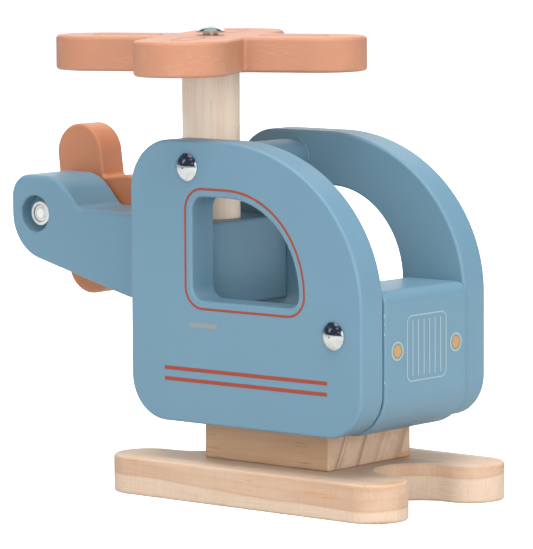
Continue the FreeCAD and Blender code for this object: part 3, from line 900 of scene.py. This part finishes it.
# ---- Sub-assemblies ----------------------------------------------------------------------
@dataclass
class Cabin:
    """The side panels, blocks and roof bar, with the lines printed on the panels."""

    window_from_rear: float = 27.5
    window_sill: float = 42.0
    window_length: float = 46.2
    window_height: float = 35.2
    window_corners: tuple[float, float, float, float] = (4.7, 4.4, 30.8, 4.7)
    line_gap: float = 3.1
    line_width: float = 0.8
    handle_length: float = 12.8
    handle_width: float = 1.7
    handle_from_rear: float = 32.5
    handle_height: float = 33.6
    stripe_width: float = 1.3
    stripe_heights: tuple[float, float] = (14.6, 18.3)
    stripe_rear: float = 15.2
    stripe_front: float = 86.0
    crack_width: float = 0.22
    crack_start: float = -10.0
    crack_end: float = 75.0

    HANDLE_END = 0.49
    STRIPE_END = 0.2

    def finishes(self) -> None:
        """Finishes the panels, boom, blocks and bar, and their screws and pegs."""
        for node in ("right_side_panel", "left_side_panel", "tail_boom"):
            finish_node(node, PANEL_PAINT)
        for node in ("nose_block", "mast_block", "roof_bar"):
            finish_node(node, BLOCK_PAINT)
        for node in ("roof_bar_screws", "nose_block_screws"):
            finish_node(node, POLISHED)
        for node in ("pedestal_pegs", "mast_block_pegs", "nose_block_pegs"):
            finish_node(node, PEG_BEECH)

    def _print(self, film: Film, name: str, side: Side, along: float, up: float, ink: InkFinish
               ) -> None:
        """Prints one shape on a panel's outer face.

        Args:
            film: The shape, as it looks from the right side.
            name: What it is.
            side: The side that it goes on.
            along: Its middle, from the panel's rear end, in millimetres.
            up: Its middle, from the panel's lower edge, in millimetres.
            ink: Its ink.
        """
        low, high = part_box(f"{side.name.lower()}_side_panel")
        outer = low.y if side is Side.RIGHT else high.y
        if side is Side.LEFT:
            lower_left, lower_right, upper_right, upper_left = film.corners
            swapped = (lower_right, lower_left, upper_left, upper_right)
            film = Film(film.width, film.height, swapped, film.line, film.lift)
        place = (low.x + along * MM, outer, low.z + up * MM)
        name = f"{name}_{side.name.lower()}"
        piece = stand(film.model(name), name, place, Vector((0, side.value, 0)))
        hand_over(piece, ink, "airframe")

    def prints(self, side: Side) -> None:
        """Prints the window's line, the door handle and the two stripes on one side.

        Args:
            side: The side.
        """
        gap = self.line_gap
        grown = tuple(radius + gap for radius in self.window_corners)
        window = Film(self.window_length + 2 * gap, self.window_height + 2 * gap, grown,
                      self.line_width)
        self._print(window, "window_line", side, self.window_from_rear + self.window_length / 2,
                    self.window_sill + self.window_height / 2, RED_INK)
        handle = Film(self.handle_length, self.handle_width,
                      (self.handle_width * self.HANDLE_END,) * 4)
        self._print(handle, "door_handle", side, self.handle_from_rear, self.handle_height,
                    CREAM_INK)
        length = self.stripe_front - self.stripe_rear
        stripe = Film(length, self.stripe_width, (self.stripe_width * self.STRIPE_END,) * 4)
        for number, height in enumerate(self.stripe_heights, 1):
            self._print(stripe, f"stripe_{number}", side, self.stripe_rear + length / 2, height,
                        RED_INK)

    def crack(self, side: Side) -> None:
        """Opens a hairline in the paint round part of the roof bar's end.

        Args:
            side: The side that the bar's end is on.
        """
        low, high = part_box("roof_bar")
        middle = (low + high) / 2
        inner = high.y if side is Side.LEFT else low.y
        size = (high.x - low.x) / MM + 2 * self.crack_width
        name = f"roof_bar_crack_{side.name.lower()}"
        ring = Film(size, size, (size * ROUND_END,) * 4, self.crack_width)
        place = (middle.x, inner, middle.z)
        piece = stand(ring.model(name), name, place, Vector((0, -side.value, 0)))
        bpy.context.view_layer.objects.active = piece
        bpy.ops.object.mode_set(mode="EDIT")
        bpy.ops.mesh.select_mode(type="VERT")
        choose_vertices(piece, lambda spot: not self._is_cracked(spot - middle))
        bpy.ops.mesh.delete(type="VERT")
        bpy.ops.mesh.select_all(action="SELECT")
        bpy.ops.mesh.fill_holes(sides=0)
        bpy.ops.object.mode_set(mode="OBJECT")
        hand_over(piece, BARE_CHIP, "airframe")

    def _is_cracked(self, spot: Vector) -> bool:
        """Whether a spot round the bar's end lies on its upper front."""
        return self.crack_start < math.degrees(math.atan2(spot.z, spot.x)) < self.crack_end

    def build(self) -> None:
        """Builds and dresses the whole sub-assembly."""
        self.finishes()
        for side in Side:
            self.prints(side)
            self.crack(side)


@dataclass
class Nose:
    """The grille and lamps printed on the nose block, and the specks missing from its edge."""

    grille_width: float = 21.6
    grille_height: float = 22.2
    grille_corner: float = 2.6
    grille_middle: float = 29.15
    grille_across: float = 0.3
    grille_line: float = 0.36
    bar_count: int = 6
    bar_spacing: float = 3.04
    bar_height: float = 18.7
    bar_width: float = 0.36
    lamp_across: float = 16.0
    lamps_aside: float = 0.4
    lamp_height: float = 29.0
    lamp_ring: float = 6.3
    lamp_ring_line: float = 0.42
    lamp_disc: float = 3.9
    chip_places: tuple[tuple[float, float], ...] = ((41.1, 1.4), (38.4, 0.6), (35.0, 0.9),
                                                    (19.1, 1.0))
    chip_width: float = 0.42
    chip_back: float = 0.50
    chip_in: float = 0.13
    chip_lift: float = 0.1
    chip_facing: Place = (1.0, -1.73, 0.0)

    def _print(self, film: Film, name: str, across: float, up: float, ink: InkFinish) -> None:
        """Prints one shape on the nose block's front face.

        Args:
            film: The shape.
            name: What it is.
            across: Its middle along Y, in millimetres.
            up: Its middle, from the block's lower face, in millimetres.
            ink: Its ink.
        """
        low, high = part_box("nose_block")
        place = (high.x, across * MM, low.z + up * MM)
        piece = stand(film.model(name), name, place, Vector((1, 0, 0)))
        hand_over(piece, ink, "airframe")

    def chips(self) -> None:
        """Knocks a few specks of paint off the block's edge beside the right panel."""
        low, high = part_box("nose_block")
        facing = Vector(self.chip_facing).normalized()
        for number, (up, length) in enumerate(self.chip_places, 1):
            name = f"nose_chip_{number}"
            chip = Film(self.chip_width, length, (self.chip_width * SOFT_END,) * 4,
                        lift=self.chip_lift)
            place = (high.x - self.chip_back * MM, low.y + self.chip_in * MM, low.z + up * MM)
            hand_over(stand(chip.model(name), name, place, facing), BARE_CHIP, "airframe")

    def grille(self) -> None:
        """Prints the grille's frame and its bars."""
        outline = Film(self.grille_width, self.grille_height, (self.grille_corner,) * 4,
                       self.grille_line)
        self._print(outline, "grille_frame", self.grille_across, self.grille_middle, GREY_INK)
        bar = Film(self.bar_width, self.bar_height, (self.bar_width * SOFT_END,) * 4)
        for number in range(self.bar_count):
            steps = number - (self.bar_count - 1) / 2
            across = self.grille_across + steps * self.bar_spacing
            self._print(bar, f"grille_bar_{number + 1}", across, self.grille_middle, GREY_INK)

    def lamps(self) -> None:
        """Prints both lamps, each a ring round a disc."""
        ring = Film(self.lamp_ring, self.lamp_ring, (self.lamp_ring * ROUND_END,) * 4,
                    self.lamp_ring_line)
        disc = Film(self.lamp_disc, self.lamp_disc, (self.lamp_disc * ROUND_END,) * 4)
        inks = {Side.RIGHT: AMBER_INK, Side.LEFT: SALMON_INK}
        for side in Side:
            name = side.name.lower()
            across = side.value * self.lamp_across + self.lamps_aside
            self._print(ring, f"lamp_ring_{name}", across, self.lamp_height, YELLOW_INK)
            self._print(disc, f"lamp_disc_{name}", across, self.lamp_height, inks[side])

    def build(self) -> None:
        """Chips the edge and prints the grille and both lamps."""
        self.chips()
        self.grille()
        self.lamps()


@dataclass
class Undercarriage:
    """The skid board and the pedestal, in bare pine, and the screws between them."""

    def build(self) -> None:
        """Finishes the pieces."""
        finish_node("skid_board", SKID_PINE)
        finish_node("pedestal_block", PEDESTAL_PINE)
        finish_node("skid_screws", ZINC)


@dataclass
class MainRotor:
    """The mast and the big rotor, with a thin loop printed on each blade."""

    blades: int = 4
    turn: float = 25.5
    loop_start: float = 17.0
    loop_end: float = 42.0
    loop_width: float = 8.0
    loop_line: float = 0.35

    def loops(self) -> None:
        """Prints one loop on the top of each blade."""
        low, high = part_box("main_rotor")
        centre = (low + high) / 2
        reach = (self.loop_start + self.loop_end) / 2
        loop = Film(self.loop_end - self.loop_start, self.loop_width,
                    (self.loop_width * ROUND_END,) * 4, self.loop_line)
        for blade in range(self.blades):
            name = f"rotor_loop_{blade + 1}"
            piece = loop.model(name)
            angle = math.radians(self.turn + blade * 360 / self.blades)
            piece.rotation_euler = (0.0, 0.0, angle)
            piece.location = (centre.x + reach * MM * math.cos(angle),
                              centre.y + reach * MM * math.sin(angle), high.z)
            hand_over(settle(piece, name), DARK_INK, "main_rotor")

    def build(self) -> None:
        """Finishes the pieces and prints the loops."""
        finish_node("mast", MAST_BEECH)
        finish_node("main_rotor", ROTOR_PAINT)
        finish_node("main_rotor_screw", POLISHED)
        finish_node("main_rotor_bush", TURNED)
        finish_node("main_rotor_washer", TURNED)
        self.loops()


@dataclass
class Tail:
    """The small rotor and the metal pieces that hold it on the boom."""

    def build(self) -> None:
        """Finishes the pieces."""
        finish_node("tail_rotor", TAIL_PAINT)
        finish_node("tail_rotor_bolt", POLISHED)
        finish_node("tail_barrel_nut", NUT_STEEL)
        finish_node("tail_rotor_bush", TURNED)
        finish_node("tail_rotor_washer", TURNED)
        finish_node("tail_boom_pegs", BOOM_PEG_BEECH)


# ---- Studio ------------------------------------------------------------------------------
@dataclass(frozen=True)
class SoftLight:
    """A soft square light that points at the toy and that polished metal doesn't show.

    Attributes:
        name: Its name.
        place: Where it hangs, in metres.
        size: The length of its side, in metres.
        power: Its power, in watts.
    """

    name: str
    place: Place
    size: float
    power: float

    def hang(self, target: Place, colour: Colour) -> None:
        """Hangs the light.

        Args:
            target: The place that it points at, in metres.
            colour: Its colour.
        """
        data = bpy.data.lights.new(self.name, "AREA")
        data.size = self.size
        data.energy = self.power
        data.color = colour
        lamp = bpy.data.objects.new(self.name, data)
        bpy.context.scene.collection.objects.link(lamp)
        lamp.location = self.place
        lamp.visible_glossy = False
        lamp.rotation_mode = "QUATERNION"
        aim = Vector(target) - Vector(self.place)
        lamp.rotation_quaternion = aim.to_track_quat("-Z", "Y")


@dataclass
class Studio:
    """A pale floor, soft lights and the camera.

    Angles are in degrees, the lens and its sensor in millimetres and all places in metres.
    """

    floor_radius: float = 9.0
    azimuth: float = 39.66
    elevation: float = 6.09
    roll: float = -0.305
    distance: float = 1.3659
    target: Place = (-0.01796, 0.0, 0.07444)
    lens: float = 260.64
    sensor: float = 36.0
    clip_end: float = 100.0
    paper: Colour = (0.68, 0.68, 0.68)
    paper_pale: Colour = (0.71, 0.71, 0.71)
    paper_mirrored: Colour = (0.42, 0.43, 0.40)
    floor_glow: float = 0.62
    fill: Colour = (0.69, 0.785, 0.91)
    warmth: Colour = (1.0, 0.965, 0.92)
    backdrop_mirrored: Colour = (1.25, 1.22, 1.18)
    backdrop_lean: float = 0.5
    room_dark: Colour = (0.030, 0.042, 0.065)
    room_lit: Colour = (0.30, 0.33, 0.37)
    room_patches: float = 2.3
    window_way: Place = (0.80, -0.52, 0.30)
    window_glow: Colour = (1.10, 1.12, 1.15)
    ceiling_glow: Colour = (0.52, 0.60, 0.62)
    lights: tuple[SoftLight, ...] = (
        SoftLight("key_light", (0.9, -1.4, 1.1), 1.2, 13.0),
        SoftLight("top_light", (0.1, -0.2, 1.6), 1.2, 32.5),
        SoftLight("nose_light", (1.7, 0.1, 0.35), 0.9, 15.0),
        SoftLight("front_light", (0.6, -1.5, 0.65), 1.1, 11.5),
        SoftLight("rear_light", (-1.2, 1.3, 0.9), 1.2, 16.0),
    )

    WHITE = (1.0, 1.0, 1.0)

    def floor(self) -> None:
        """Lays a wide round floor."""
        deselect()
        bpy.ops.mesh.primitive_circle_add(vertices=96, radius=self.floor_radius, fill_type="NGON")
        floor = settle(bpy.context.active_object, "studio_floor")
        shader = Shader("studio_paper")
        mottle = shader.noise(shader.position(), even(0.02), 2.0)
        paper = shader.mix(mottle, self.paper, self.paper_pale)
        rays = shader.node("LightPath").outputs
        glow = shader.math("MULTIPLY", rays["Is Camera Ray"], self.floor_glow)
        shader.set(Base_Color=shader.mix(rays["Is Glossy Ray"], paper, self.paper_mirrored))
        shader.set(Roughness=0.9, Specular_IOR_Level=0.0)
        shader.set(Emission_Color=self.WHITE, Emission_Strength=glow)
        floor.data.materials.append(shader.material)

    def _room(self, tree: Tree, way: bpy.types.NodeSocket, up: bpy.types.NodeSocket
              ) -> bpy.types.NodeSocket:
        """The dim room in front, with its window and ceiling.

        Args:
            tree: The world's tree.
            way: The direction that is looked along.
            up: The direction's upward part.

        Returns:
            The room's colour that way.
        """
        lit = tree.ease(tree.noise(way, even(self.room_patches)), 0.55, 0.75)
        room = tree.mix(lit, self.room_dark, self.room_lit)
        daylight = tree.ease(tree.dot(way, self.window_way), 0.91, 0.95)
        room = tree.mix(daylight, room, self.window_glow)
        return tree.mix(tree.ease(up, 0.80, 0.90), room, self.ceiling_glow)

    def world(self) -> None:
        """Surrounds the toy with white, and with a dim room in front for polished metal."""
        world = bpy.data.worlds.new("studio")
        bpy.context.scene.world = world
        world.use_nodes = True
        tree = Tree(world.node_tree)
        way = tree.coordinates["Generated"]
        up = tree.node("SeparateXYZ", way).outputs["Z"]
        around = math.radians(self.azimuth)
        behind = tree.dot(way, (-math.sin(around), math.cos(around), self.backdrop_lean))
        ground = tree.ease(up, 0.06, -0.04)
        white = tree.math("MAXIMUM", tree.ease(behind, 0.92, 1.04), ground)
        mirrored = tree.mix(white, self._room(tree, way, up), self.backdrop_mirrored)
        rays = tree.node("LightPath").outputs
        fill = tree.mix(rays["Is Camera Ray"], self.fill, self.WHITE)
        background = world.node_tree.nodes["Background"]
        tree.feed(background.inputs["Color"], tree.mix(rays["Is Glossy Ray"], fill, mirrored))
        tree.feed(background.inputs["Strength"], 1.0)

    def camera(self) -> None:
        """Sets up the camera."""
        around, up = math.radians(self.azimuth), math.radians(self.elevation)
        back = Vector((math.sin(around) * math.cos(up), -math.cos(around) * math.cos(up),
                       math.sin(up)))
        right = Vector((math.cos(around), math.sin(around), 0.0))
        above = back.cross(right)
        turn = Matrix((right, above, back)).transposed() @ Matrix.Rotation(
            math.radians(self.roll), 3, "Z")
        data = bpy.data.cameras.new("camera")
        data.lens = self.lens
        data.sensor_width = self.sensor
        data.clip_end = self.clip_end
        camera = bpy.data.objects.new("camera", data)
        bpy.context.scene.collection.objects.link(camera)
        place = Vector(self.target) + back * self.distance
        camera.matrix_world = Matrix.Translation(place) @ turn.to_4x4()
        bpy.context.scene.camera = camera

    def build(self) -> None:
        """Sets up the whole studio."""
        self.floor()
        self.world()
        for light in self.lights:
            light.hang(self.target, self.warmth)
        self.camera()
        bpy.context.scene.view_settings.view_transform = "Standard"


def main() -> None:
    """Builds every sub-assembly in turn, then the studio."""
    logging.basicConfig(level=logging.INFO, format="%(name)s: %(message)s")
    for assembly in (Undercarriage(), Cabin(), Nose(), MainRotor(), Tail(), Studio()):
        assembly.build()
        log.info("%s done", type(assembly).__name__)


if __name__ == "__main__":
    main()
